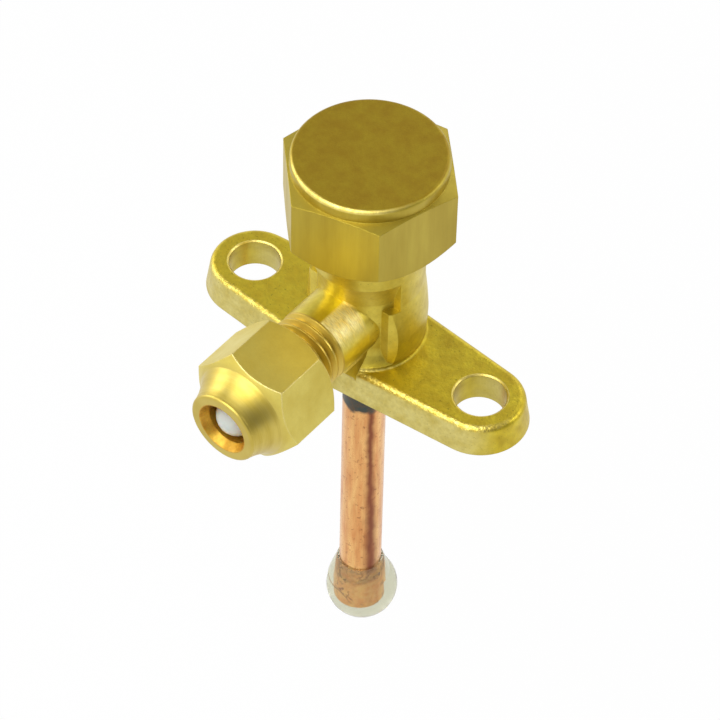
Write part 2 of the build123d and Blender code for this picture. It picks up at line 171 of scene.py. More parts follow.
@dataclass(frozen=True)
class PlasticFinish:
    """A moulded plastic or rubber.

    Attributes:
        name: the material's name.
        colour: sRGB hex of its body.
        rough: roughness.
        ior: index of refraction.
        clear: share of the light that goes through.
        glow: share scattered under the skin.
        glow_mm: how far that share travels.
        shade: how much of the colour is left in the ripples.
        ripple_mm: width of the moulded unevenness.
        ripple_depth_mm: its depth.
        wet_bore_mm: radius of a bore round Z that grips what is in it; 0 for none.
        bore_end_mm: height of that bore's closed end.
    """

    name: str
    colour: str
    rough: float
    ior: float = 1.5
    clear: float = 0.0
    glow: float = 0.0
    glow_mm: float = 1.5
    shade: float = 0.86
    ripple_mm: float = 2.0
    ripple_depth_mm: float = 0.02
    wet_bore_mm: float = 0.0
    bore_end_mm: float = 0.0

    def material(self) -> Material:
        """Build the plastic's material.

        Returns:
            The material.
        """
        material = bpy.data.materials.new(self.name)
        material.use_nodes = True
        tree = material.node_tree
        tree.nodes.clear()
        place = add_node(tree, "TexCoord").outputs["Object"]
        ripple = add_node(
            tree, "TexNoise", {"Scale": 1 / (self.ripple_mm * MM), "Detail": 3.0}, {"Vector": place}
        ).outputs[0]
        bump = add_node(tree, "Bump", {"Distance": self.ripple_depth_mm * MM}, {"Height": ripple})
        base = linear(self.colour)
        shaded = tuple(self.shade * c for c in base[:3]) + (1.0,)
        colour = add_node(
            tree, "Mix", {"data_type": "RGBA", FIRST_COLOUR: base, SECOND_COLOUR: shaded}, {SHARE: ripple}
        ).outputs[2]
        surface = add_node(
            tree, "BsdfPrincipled",
            {"Roughness": self.rough, "IOR": self.ior, "Transmission Weight": self.clear,
             "Subsurface Weight": self.glow, "Subsurface Scale": self.glow_mm * MM},
            {"Base Color": colour, "Normal": bump.outputs[0]},
        ).outputs[0]
        if self.wet_bore_mm > 0:
            straight = add_node(tree, "BsdfTransparent").outputs[0]
            surface = add_node(
                tree, "MixShader", {}, {0: self.bore_wall(tree, place), 1: surface, 2: straight}
            ).outputs[0]
        add_node(tree, "OutputMaterial", {}, {"Surface": surface})
        return material

    def bore_wall(self, tree: bpy.types.NodeTree, place: Socket) -> Socket:
        """Mask of the wall of the bore that grips what is in it.

        Args:
            tree: the material's node tree.
            place: socket of the place in the frame.

        Returns:
            The mask.
        """
        flat = add_node(tree, "VectorMath", {"operation": "MULTIPLY", 1: (1.0, 1.0, 0.0)}, {0: place})
        reach = add_node(tree, "VectorMath", {"operation": "LENGTH"}, {0: flat.outputs[0]})
        wall = add_node(
            tree, "Math", {"operation": "LESS_THAN", 1: self.wet_bore_mm * MM}, {0: reach.outputs["Value"]}
        ).outputs[0]
        height = add_node(tree, "SeparateXYZ", {}, {0: place}).outputs["Z"]
        above = add_node(
            tree, "Math", {"operation": "GREATER_THAN", 1: self.bore_end_mm * MM}, {0: height}
        ).outputs[0]
        return add_node(tree, "Math", {"operation": "MULTIPLY"}, {0: wall, 1: above}).outputs[0]


# Shot leaves dents of about 0.15 mm, and tools and brushes leave marks of about 0.05 mm. Both are finer than
# a pixel of the render, so the grit of the finishes below is drawn 0.2 to 0.9 mm wide.

# Hot-forged brass, shot-blasted clean: a fine dented skin that scatters the light in small sparkles.
FORGED_BRASS = MetalFinish(clean="D9C333", dull="BFA627", rough=0.44, rough_spread=0.08, patch_mm=2.0,
                           grit_mm=0.5, grit_depth_mm=0.045, grain=0.13, speck=0.035)
# The forging's walls that face the front, paler as a painted highlight from the lamps in front.
PALE_LIT_WALL_BRASS = MetalFinish(clean="D8CA7A", dull="C9B75D", rough=0.42, rough_spread=0.06, patch_mm=2.2,
                         grit_mm=0.5, grit_depth_mm=0.06, grain=0.09, speck=0.01)
# The flange's front edges that face the lamps: coarse flecks in the bump, and a pale colour that is a painted
# highlight.
FLECKED_EDGE_HIGHLIGHT_BRASS = MetalFinish(clean="EAD670", dull="D0B644", rough=0.38, rough_spread=0.08, patch_mm=0.8,
                           grit_mm=0.5, grit_depth_mm=0.11, grain=0.3)
# The column, rubbed by the die: smooth enough to mirror the flange and the boss.
COLUMN_BRASS = MetalFinish(clean="D9C650", dull="C7B13C", rough=0.42, rough_spread=0.06, patch_mm=3.4,
                           grit_mm=0.6, grit_depth_mm=0.03, grain=0.06, speck=0.02)
# The side of the port's boss that faces the lamps: brushed, with marks round the port, and pale and bright as
# a painted highlight.
BRUSHED_HIGHLIGHT_BRASS = MetalFinish(clean="FFF0A8", dull="FAE07A", rough=0.6, rough_spread=0.06, patch_mm=1.0,
                            grit_mm=0.3, grit_depth_mm=0.04, lay=Lay.SCUFFED, grain=0.2)
# The rest of the boss, rubbed smooth, so that it mirrors the brass round it and turns a deep gold.
SMOOTH_BRASS = MetalFinish(clean="E2D04A", dull="D2BA34", rough=0.34, patch_mm=3.0,
                           grit_mm=0.9, grit_depth_mm=0.012)
# The neck and the drilled holes, cut with a tool: fine rings, in a yellow darkened as painted shade inside
# the holes.
CUT_SHADED_BRASS = MetalFinish(clean="B6A53C", dull="A99631", rough=0.38, patch_mm=3.0,
                        grit_mm=0.9, grit_depth_mm=0.008, lay=Lay.ROUND_Z, grain=0.05)
# The port's thread: bright flanks that mirror one another, so it turns deep gold.
THREAD_BRASS = MetalFinish(clean="D9C057", dull="CAA940", rough=0.36, patch_mm=3.0,
                           grit_mm=0.9, grit_depth_mm=0.008, lay=Lay.ROUND_Y, grain=0.05)
# The nut's nose: turned, satin and pale.
TURNED_BRASS = MetalFinish(clean="D0BB5C", dull="C4AC46", rough=0.4, patch_mm=3.0,
                           grit_mm=0.9, grit_depth_mm=0.008, lay=Lay.ROUND_Y, grain=0.05)
# Drawn hexagon bar: satin flats with faint streaks along the bar.
DRAWN_BRASS = MetalFinish(clean="BDA93E", dull="B19B33", rough=0.48, patch_mm=5.0,
                          grit_mm=0.5, grit_depth_mm=0.004, lay=Lay.ALONG_Z, grain=0.025)
# Pale bright rims, a painted highlight: the cap's rim and the rims of the flange's holes.
RIM_HIGHLIGHT_BRASS = MetalFinish(clean="F6E282", dull="E4CC60", rough=0.42, patch_mm=1.0,
                           grit_mm=0.4, grit_depth_mm=0.02, grain=0.1)
# The flare nut's upper corners: pale bright lines that are a painted highlight.
CORNER_HIGHLIGHT_BRASS = MetalFinish(clean="FBEFAE", dull="F4DF88", rough=0.42, patch_mm=0.6,
                         grit_mm=0.3, grit_depth_mm=0.03, grain=0.15)
# The nut's mouth, coned with a blunt tool; its darker orange is painted shade inside it.
SHADED_MOUTH_BRASS = MetalFinish(clean="D8B040", dull="C08E2C", rough=0.5, patch_mm=1.2,
                          grit_mm=0.4, grit_depth_mm=0.02)
# Faced end of the cap, gone dull olive in the pickling bath, with small pits.
PICKLED_BRASS = MetalFinish(clean="AA901C", dull="9D7F14", rough=0.5, patch_mm=2.0,
                            grit_mm=0.22, grit_depth_mm=0.02, grain=0.06, speck=0.06)
# Forged flare nut: satin and even.
SATIN_BRASS = MetalFinish(clean="DFCF6A", dull="D6C259", rough=0.46, patch_mm=4.0,
                          grit_mm=0.25, grit_depth_mm=0.012, grain=0.04)
# Drawn copper tube: bright orange, with streaks along the tube.
DRAWN_COPPER = MetalFinish(clean="F0BC76", dull="D89456", rough=0.28, rough_spread=0.06, patch_mm=1.6,
                           grit_mm=0.5, grit_depth_mm=0.012, lay=Lay.ALONG_Z)
# Small brown marks that handling has left on it.
MARKED_COPPER = MetalFinish(clean="9A6238", dull="8A5430", rough=0.4, patch_mm=1.0,
                            grit_mm=0.5, grit_depth_mm=0.01)
# A dark, dull band down one side of the tube, which wavers, turns and widens towards the end cap.
STREAKED_COPPER = MetalFinish(clean="76361C", dull="8C4624", rough=0.42, patch_mm=3.0,
                              grit_mm=0.5, grit_depth_mm=0.01, lay=Lay.ALONG_Z)
# The tube's top, scorched green-black by the torch.
SCORCHED_COPPER = MetalFinish(clean="3E4A46", dull="6A5036", rough=0.5, patch_mm=1.6,
                              grit_mm=0.3, grit_depth_mm=0.01)
# The tube's end, kept bright by the cap that grips it.
GRIPPED_COPPER = MetalFinish(clean="FFCA7C", dull="F2A058", rough=0.4, patch_mm=1.4,
                             grit_mm=0.5, grit_depth_mm=0.1)
# Creases in that end, where it was pinched: red-brown.
CREASED_COPPER = MetalFinish(clean="94461E", dull="743618", rough=0.4, patch_mm=1.0,
                             grit_mm=0.5, grit_depth_mm=0.05)
# Silver braze, grey and sooty from the torch.
BRAZE_ALLOY = MetalFinish(clean="8C7A55", dull="3C3A33", rough=0.5, rough_spread=0.1, patch_mm=1.0,
                          grit_mm=0.5, grit_depth_mm=0.03)
# Phosphated spring steel, dark grey. It shows only with the cap off.
RING_STEEL = MetalFinish(clean="6B6B6E", dull="4A4A4C", rough=0.38, patch_mm=2.0,
                         grit_mm=0.3, grit_depth_mm=0.004)

# Moulded polyethylene plug: milky, a little pearly.
PLUG_PLASTIC = PlasticFinish(name="pearly_polyethylene", colour="D4DAD2", rough=0.18, ior=1.51, glow=0.3,
                             ripple_mm=1.5, ripple_depth_mm=0.01)
# Soft translucent vinyl cap: greenish where it is thick. Solid vinyl of IOR 1.53 would magnify the tube to
# the cap's own width, which the real one doesn't, so the IOR is lower and its bore shows no surface.
CAP_VINYL = PlasticFinish(name="translucent_vinyl", colour="E0E0C8", rough=0.14, ior=1.16, clear=0.86,
                          ripple_mm=2.2, ripple_depth_mm=0.10, wet_bore_mm=3.3, bore_end_mm=-54.95)
# Nitrile seal and nylon washer, which show only with the cap off.
SEAL_RUBBER = PlasticFinish(name="nitrile_rubber", colour="1B1B1C", rough=0.55, ior=1.52)
WASHER_NYLON = PlasticFinish(name="moulded_nylon", colour="DEDBCF", rough=0.45, ior=1.53, glow=0.2)


@dataclass(frozen=True)
class Layer:
    """Sockets that describe one surface: colour, roughness and height in millimetres."""

    colour: Socket
    rough: Socket
    height_mm: Socket


class MetalGraph:
    """Node graph of one metal material, built from finishes blended by place.

    The spans are settings of a Map Range node: what it is fed at the start and at the end of its rise.
    """

    TARNISH_SPAN = {"From Min": 0.35, "From Max": 0.68}  # patch noise, from fresh to dull
    NOISE_SPAN = {"From Min": 0.3, "From Max": 0.7}  # nearly all of a noise's own range
    LIGHT_SHARE = 0.6  # marks lighten by this share of how much they darken
    PITS_PER_GRIT = 2.2  # pits are this much finer than the grit
    PIT_SPAN = (0.72, 0.78)  # pit noise, less the finish's share of pits
    PIT_SHADE = 0.55  # colour left in a pit
    EDGE_SPAN = {"From Min": 0.995, "From Max": 0.95}  # bevelled against true normal, from flat to full edge
    RIM_MM = 0.05  # half the soft rim of a cylinder's mask
    BEVEL_SAMPLES = 4
    COAT_WEIGHT = 0.25  # thin film of oil and handling on the metal
    COAT_ROUGH = 0.35

    def __init__(self, name: str, bevel_mm: float = 0.12) -> None:
        """Start the material's node tree.

        Args:
            name: the material's name.
            bevel_mm: radius of the softened edges in the shading.
        """
        self.material = bpy.data.materials.new(name)
        self.material.use_nodes = True
        self.tree = self.material.node_tree
        self.tree.nodes.clear()
        self.bevel_mm = bevel_mm
        place = add_node(self.tree, "TexCoord").outputs["Object"]
        self.mm = add_node(
            self.tree, "VectorMath", {"operation": "SCALE", "Scale": 1 / MM}, {0: place}
        ).outputs[0]

    def colour(self, finish: MetalFinish, patch: Socket, grit: Socket) -> Socket:
        """Colour of a finish, from its tarnish, its marks and its pits.

        Args:
            finish: the finish.
            patch: noise of the tarnish.
            grit: noise of the marks.

        Returns:
            The colour's socket.
        """
        tree = self.tree
        tarnish = add_node(tree, "MapRange", self.TARNISH_SPAN, {"Value": patch}).outputs[0]
        colour = add_node(
            tree, "Mix",
            {"data_type": "RGBA", FIRST_COLOUR: linear(finish.clean), SECOND_COLOUR: linear(finish.dull)},
            {SHARE: tarnish},
        ).outputs[2]
        grain = add_node(
            tree, "MapRange",
            self.NOISE_SPAN | {"To Min": 1 - finish.grain, "To Max": 1 + self.LIGHT_SHARE * finish.grain},
            {"Value": grit},
        ).outputs[0]
        colour = add_node(tree, "VectorMath", {"operation": "SCALE"}, {0: colour, "Scale": grain}).outputs[0]
        if finish.speck == 0:
            return colour
        pits = add_node(
            tree, "TexNoise", {"Scale": self.PITS_PER_GRIT / finish.grit_mm, "Detail": 1.0},
            {"Vector": self.mm},
        ).outputs[0]
        pit_start, pit_full = (edge - finish.speck for edge in self.PIT_SPAN)
        pit_mask = add_node(
            tree, "MapRange", {"From Min": pit_start, "From Max": pit_full}, {"Value": pits}
        ).outputs[0]
        dark = add_node(
            tree, "VectorMath", {"operation": "SCALE", "Scale": self.PIT_SHADE}, {0: colour}
        ).outputs[0]
        return add_node(
            tree, "Mix", {"data_type": "RGBA"}, {SHARE: pit_mask, FIRST_COLOUR: colour, SECOND_COLOUR: dark}
        ).outputs[2]

    def layer(self, finish: MetalFinish) -> Layer:
        """Build the sockets of one finish.

        Args:
            finish: the finish to build.

        Returns:
            Its colour, roughness and height.
        """
        tree = self.tree
        half_lay = tuple(math.sqrt(stretch) for stretch in finish.lay.value)
        drawn_out = add_node(tree, "VectorMath", {"operation": "MULTIPLY", 1: half_lay}, {0: self.mm})
        patch = add_node(
            tree, "TexNoise", {"Scale": 1 / finish.patch_mm, "Detail": 4.0, "Roughness": 0.6},
            {"Vector": drawn_out.outputs[0]},
        ).outputs[0]
        stretched = add_node(tree, "VectorMath", {"operation": "MULTIPLY", 1: finish.lay.value}, {0: self.mm})
        grit = add_node(
            tree, "TexNoise", {"Scale": 1 / finish.grit_mm, "Detail": 2.0, "Roughness": 0.55},
            {"Vector": stretched.outputs[0]},
        ).outputs[0]
        rough = add_node(
            tree, "MapRange",
            self.NOISE_SPAN
            | {"To Min": finish.rough - finish.rough_spread, "To Max": finish.rough + finish.rough_spread},
            {"Value": patch},
        ).outputs[0]
        height = add_node(
            tree, "Math", {"operation": "MULTIPLY", 1: finish.grit_depth_mm}, {0: grit}
        ).outputs[0]
        return Layer(self.colour(finish, patch, grit), rough, height)

    def blend(self, under: Layer, over: Layer, mask: Socket) -> Layer:
        """Lay one finish over another where a mask is 1.

        Args:
            under: what shows where the mask is 0.
            over: what shows where the mask is 1.
            mask: the mask.

        Returns:
            The blended layer.
        """
        tree = self.tree
        colour = add_node(
            tree, "Mix", {"data_type": "RGBA"},
            {SHARE: mask, FIRST_COLOUR: under.colour, SECOND_COLOUR: over.colour},
        ).outputs[2]
        rough, height = (
            add_node(tree, "Mix", {}, {SHARE: mask, FIRST_VALUE: low, SECOND_VALUE: high}).outputs[0]
            for low, high in ((under.rough, over.rough), (under.height_mm, over.height_mm))
        )
        return Layer(colour, rough, height)

    def band(self, axis: str, start_mm: float, full_mm: float) -> Socket:
        """Mask that rises from 0 to 1 between two places on an axis.

        Args:
            axis: X, Y or Z.
            start_mm: where the mask leaves 0.
            full_mm: where it reaches 1.

        Returns:
            The mask.
        """
        along = add_node(self.tree, "SeparateXYZ", {}, {0: self.mm}).outputs[axis]
        return add_node(
            self.tree, "MapRange", {"From Min": start_mm, "From Max": full_mm}, {"Value": along}
        ).outputs[0]

    def facing(self, direction: Triple, likeness: Pair) -> Socket:
        """Mask of the surfaces that face one way.

        Args:
            direction: the way, as a unit vector.
            likeness: likeness of normal and direction at which the mask leaves 0 and reaches 1.

        Returns:
            The mask.
        """
        normal = add_node(self.tree, "NewGeometry").outputs["Normal"]
        alike = add_node(self.tree, "VectorMath", {"operation": "DOT_PRODUCT", 1: direction}, {0: normal})
        return add_node(
            self.tree, "MapRange", {"From Min": likeness[0], "From Max": likeness[1]},
            {"Value": alike.outputs["Value"]},
        ).outputs[0]

    def bevelled_edges(self, width_mm: float) -> Socket:
        """Mask of the edges, where the bevelled normal turns away from the true one.

        Args:
            width_mm: how far the mask reaches from an edge.

        Returns:
            The mask.
        """
        soft = add_node(
            self.tree, "Bevel", {"samples": self.BEVEL_SAMPLES, "Radius": width_mm * MM}
        ).outputs[0]
        flat = add_node(self.tree, "NewGeometry").outputs["True Normal"]
        alike = add_node(self.tree, "VectorMath", {"operation": "DOT_PRODUCT"}, {0: soft, 1: flat})
        return add_node(self.tree, "MapRange", self.EDGE_SPAN, {"Value": alike.outputs["Value"]}).outputs[0]

    def within(self, axis: str, centre_mm: Triple, radius_mm: float) -> Socket:
        """Mask of the space inside a cylinder.

        Args:
            axis: the cylinder's direction, X, Y or Z.
            centre_mm: a point on its axis.
            radius_mm: its radius.

        Returns:
            The mask, 1 inside.
        """
        flat = tuple(float(name != axis) for name in "XYZ")
        offset = add_node(self.tree, "VectorMath", {"operation": "SUBTRACT", 1: centre_mm}, {0: self.mm})
        across = add_node(self.tree, "VectorMath", {"operation": "MULTIPLY", 1: flat}, {0: offset.outputs[0]})
        reach = add_node(self.tree, "VectorMath", {"operation": "LENGTH"}, {0: across.outputs[0]})
        return add_node(
            self.tree, "MapRange",
            {"From Min": radius_mm + self.RIM_MM, "From Max": radius_mm - self.RIM_MM},
            {"Value": reach.outputs["Value"]},
        ).outputs[0]

    def overlap(self, *masks: Socket) -> Socket:
        """Mask of the place that all the given masks cover.

        Args:
            masks: the masks, one or more.

        Returns:
            The joint mask.
        """
        joint = masks[0]
        for mask in masks[1:]:
            joint = add_node(
                self.tree, "Math", {"operation": "MULTIPLY", "use_clamp": True}, {0: joint, 1: mask}
            ).outputs[0]
        return joint

    def close(self, layer: Layer) -> Material:
        """Finish the graph with a metal shader.

        Args:
            layer: the surface to shade.

        Returns:
            The material.
        """
        tree = self.tree
        soft_edge = add_node(tree, "Bevel", {"samples": self.BEVEL_SAMPLES, "Radius": self.bevel_mm * MM})
        bump = add_node(
            tree, "Bump", {"Distance": MM},
            {"Height": layer.height_mm, "Normal": soft_edge.outputs[0]},
        )
        shader = add_node(
            tree, "BsdfPrincipled",
            {"Metallic": 1.0, "Coat Weight": self.COAT_WEIGHT, "Coat Roughness": self.COAT_ROUGH},
            {"Base Color": layer.colour, "Roughness": layer.rough, "Normal": bump.outputs[0]},
        )
        add_node(tree, "OutputMaterial", {}, {"Surface": shader.outputs[0]})
        return self.material


def dress(node: bpy.types.Object, material: Material) -> None:
    """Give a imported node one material.

    Args:
        node: the node's object.
        material: its material.
    """
    node.data.materials.clear()
    node.data.materials.append(material)
    LOG.info("%s: %s", node.name, material.name)


def plain_metal(name: str, finish: MetalFinish, bevel_mm: float = 0.08) -> Material:
    """Make a metal material of one finish.

    Args:
        name: the material's name.
        finish: its finish.
        bevel_mm: radius of the softened edges.

    Returns:
        The material.
    """
    graph = MetalGraph(name, bevel_mm)
    return graph.close(graph.layer(finish))


@dataclass
class ValveBody:
    """The forged body, its stem and its trim.

    Attributes:
        lit_wall_direction: the way that the forging's front walls face, which get a paler painted highlight.
        lit_wall_likeness: likeness at which the walls' painted highlight starts and is full.
        lit_edge_direction: the way that the flange's front edges face, which get a painted highlight.
        lit_edge_likeness: likeness at which their painted highlight starts and is full.
        lit_edge_fade_mm: height over which it gives way to the column.
        port_height_mm: height of the side port's axis.
        boss_radius_mm: radius of the boss round that axis, with a little to spare.
        boss_root_mm: Y at which the boss leaves the core.
        boss_fade_mm: length over which its finish sets in.
        highlight_left_mm: X where the boss's brushed band with its painted highlight starts, and where it is
            full.
        highlight_right_mm: X where the band has ended, and where it is still full.
        column_radius_mm: radius that takes in the column.
        foot_height_mm: height at which the flange's skin gives way to the column's.
        foot_fade_mm: height over which it does.
        thread_start_mm: Y at which the port's thread starts.
        hole_pitch_mm: distance between the flange's holes.
        hole_radius_mm: their radius with a little to spare.
        rim_radius_mm: radius that takes in the holes' rims with their painted highlight.
        rim_height_mm: height at which the rims start.
        rim_fade_mm: height over which their painted highlight sets in.
        neck_start_mm: height at which the turned neck starts.
        cut_fade_mm: length over which a machined finish sets in.
    """

    lit_wall_direction: Triple = (-0.24, -0.97, 0.0)
    lit_wall_likeness: Pair = (0.3, 0.85)
    lit_edge_direction: Triple = (0.28, -0.55, 0.785)
    lit_edge_likeness: Pair = (0.82, 0.95)
    lit_edge_fade_mm: float = 0.2
    port_height_mm: float = 10.88
    boss_radius_mm: float = 6.0
    boss_root_mm: float = -6.2
    boss_fade_mm: float = 0.6
    highlight_left_mm: Pair = (1.0, 1.35)
    highlight_right_mm: Pair = (5.5, 4.0)
    column_radius_mm: float = 9.2
    foot_height_mm: float = 5.0
    foot_fade_mm: float = 0.8
    thread_start_mm: float = -11.85
    hole_pitch_mm: float = 40.8
    hole_radius_mm: float = 3.74
    rim_radius_mm: float = 4.05
    rim_height_mm: float = 4.4
    rim_fade_mm: float = 0.05
    neck_start_mm: float = 24.6
    cut_fade_mm: float = 0.1

    def forging(self) -> Material:
        """Blend the blasted skin, its painted highlights and the brushed boss with the machined threads,
        holes and neck.

        Returns:
            The body's material.
        """
        graph = MetalGraph("shot_blasted_forged_brass")
        # Walls that face the front get a paler finish: a painted highlight.
        walls = graph.facing(self.lit_wall_direction, self.lit_wall_likeness)
        surface = graph.blend(graph.layer(FORGED_BRASS), graph.layer(PALE_LIT_WALL_BRASS), walls)
        column = graph.overlap(
            graph.within("Z", (0.0, 0.0, 0.0), self.column_radius_mm),
            graph.band("Z", self.foot_height_mm, self.foot_height_mm + self.foot_fade_mm),
        )
        surface = graph.blend(surface, graph.layer(COLUMN_BRASS), column)
        # Painted highlight on the flange's front edges, with coarse flecks.
        edges = graph.overlap(
            graph.facing(self.lit_edge_direction, self.lit_edge_likeness),
            graph.band("Z", self.foot_height_mm + self.lit_edge_fade_mm, self.foot_height_mm),
        )
        surface = graph.blend(surface, graph.layer(FLECKED_EDGE_HIGHLIGHT_BRASS), edges)
        boss = graph.overlap(
            graph.within("Y", (0.0, 0.0, self.port_height_mm), self.boss_radius_mm),
            graph.band("Y", self.boss_root_mm, self.boss_root_mm - self.boss_fade_mm),
        )
        surface = graph.blend(surface, graph.layer(SMOOTH_BRASS), boss)
        # Brushed band on the boss, pale as a painted highlight.
        brushed = graph.overlap(
            boss, graph.band("X", *self.highlight_left_mm), graph.band("X", *self.highlight_right_mm)
        )
        surface = graph.blend(surface, graph.layer(BRUSHED_HIGHLIGHT_BRASS), brushed)
        return graph.close(self.machined(graph, surface))

    def machined(self, graph: MetalGraph, surface: Layer) -> Layer:
        """Lay the machined places over the forging: the thread, the holes with their rims, and the neck.
        The holes' walls are darkened as painted shade, and the rims carry a painted highlight.

        Args:
            graph: the body's graph.
            surface: the forging's finish.

        Returns:
            The whole finish.
        """
        thread = graph.band("Y", self.thread_start_mm, self.thread_start_mm - self.cut_fade_mm)
        surface = graph.blend(surface, graph.layer(THREAD_BRASS), thread)
        # Cut finish, darkened as painted shade for the holes' walls.
        cut = graph.layer(CUT_SHADED_BRASS)
        for side in (-1, 1):
            centre_mm = (side * self.hole_pitch_mm / 2, 0.0, 0.0)
            # Painted highlight on the rim of each hole.
            rim = graph.overlap(
                graph.within("Z", centre_mm, self.rim_radius_mm),
                graph.band("Z", self.rim_height_mm, self.rim_height_mm + self.rim_fade_mm),
            )
            surface = graph.blend(surface, graph.layer(RIM_HIGHLIGHT_BRASS), rim)
            surface = graph.blend(surface, cut, graph.within("Z", centre_mm, self.hole_radius_mm))
        neck = graph.band("Z", self.neck_start_mm, self.neck_start_mm + self.cut_fade_mm)
        return graph.blend(surface, cut, neck)

    def build(self, nodes: Nodes) -> None:
        """Dress the body and the pieces inside its neck.

        Args:
            nodes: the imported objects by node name.
        """
        dress(nodes["valve_body"], self.forging())
        dress(nodes["valve_stem"], plain_metal("turned_stem_brass", CUT_SHADED_BRASS))
        dress(nodes["stem_retaining_ring"], plain_metal("phosphated_spring_steel", RING_STEEL))
        dress(nodes["stem_o_ring"], SEAL_RUBBER.material())


@dataclass
class StemCap:
    """The hexagon cap over the stem, with its sealing washer.

    Attributes:
        face_height_mm: height at which the end face's dull finish starts.
        face_fade_mm: height over which it sets in.
        rim_height_mm: height at which the rim's painted highlight starts.
        rim_fade_mm: height over which it sets in.
        lit_rim_direction: the way that the part of the rim with the painted highlight faces.
        lit_rim_likeness: likeness at which its painted highlight starts and is full.
        bevel_mm: radius of the cap's softened edges.
    """

    face_height_mm: float = 39.05
    face_fade_mm: float = 0.1
    rim_height_mm: float = 38.5
    rim_fade_mm: float = 0.2
    lit_rim_direction: Triple = (0.15, -0.75, 0.64)
    lit_rim_likeness: Pair = (0.7, 0.9)
    bevel_mm: float = 0.18

    def build(self, nodes: Nodes) -> None:
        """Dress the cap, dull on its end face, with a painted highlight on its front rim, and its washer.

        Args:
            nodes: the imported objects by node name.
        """
        graph = MetalGraph("drawn_hexagon_brass", self.bevel_mm)
        top = graph.band("Z", self.face_height_mm, self.face_height_mm + self.face_fade_mm)
        # Painted highlight on the part of the rim that faces the front.
        rim = graph.overlap(
            graph.band("Z", self.rim_height_mm, self.rim_height_mm + self.rim_fade_mm),
            graph.facing(self.lit_rim_direction, self.lit_rim_likeness),
        )
        surface = graph.blend(graph.layer(DRAWN_BRASS), graph.layer(PICKLED_BRASS), top)
        dress(nodes["valve_cap"], graph.close(graph.blend(surface, graph.layer(RIM_HIGHLIGHT_BRASS), rim)))
        dress(nodes["cap_gasket"], WASHER_NYLON.material())


@dataclass
class FlareConnection:
    """The flare nut and the plug that it holds.

    Attributes:
        port_height_mm: height of the port's axis.
        bore_radius_mm: radius that takes in the nut's inside.
        nose_start_mm: Y at which the turned nose takes over from the hexagon.
        nose_fade_mm: length over which it does.
        corner_mm: width of the corners' painted highlight.
        lit_corner_direction: the way that the corners with the painted highlight face.
        lit_corner_likeness: likeness at which their painted highlight starts and is full.
        bevel_mm: radius of the nut's softened edges.
    """

    port_height_mm: float = 10.88
    bore_radius_mm: float = 4.05
    nose_start_mm: float = -27.0
    nose_fade_mm: float = 0.8
    corner_mm: float = 0.32
    lit_corner_direction: Triple = (0.4, -0.3, 0.87)
    lit_corner_likeness: Pair = (0.45, 0.8)
    bevel_mm: float = 0.2

    def build(self, nodes: Nodes) -> None:
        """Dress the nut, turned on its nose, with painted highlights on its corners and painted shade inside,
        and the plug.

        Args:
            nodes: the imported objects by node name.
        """
        graph = MetalGraph("satin_forged_nut_brass", self.bevel_mm)
        nose = graph.band("Y", self.nose_start_mm, self.nose_start_mm - self.nose_fade_mm)
        # Darker orange inside the nut: painted shade.
        inside = graph.within("Y", (0.0, 0.0, self.port_height_mm), self.bore_radius_mm)
        # Painted highlight on the nut's corners that face the lamps.
        corners_up = graph.overlap(
            graph.bevelled_edges(self.corner_mm), graph.facing(self.lit_corner_direction, self.lit_corner_likeness)
        )
        surface = graph.blend(graph.layer(SATIN_BRASS), graph.layer(CORNER_HIGHLIGHT_BRASS), corners_up)
        surface = graph.blend(surface, graph.layer(TURNED_BRASS), nose)
        dress(nodes["flare_nut"], graph.close(graph.blend(surface, graph.layer(SHADED_MOUTH_BRASS), inside)))
        dress(nodes["flare_plug"], PLUG_PLASTIC.material())


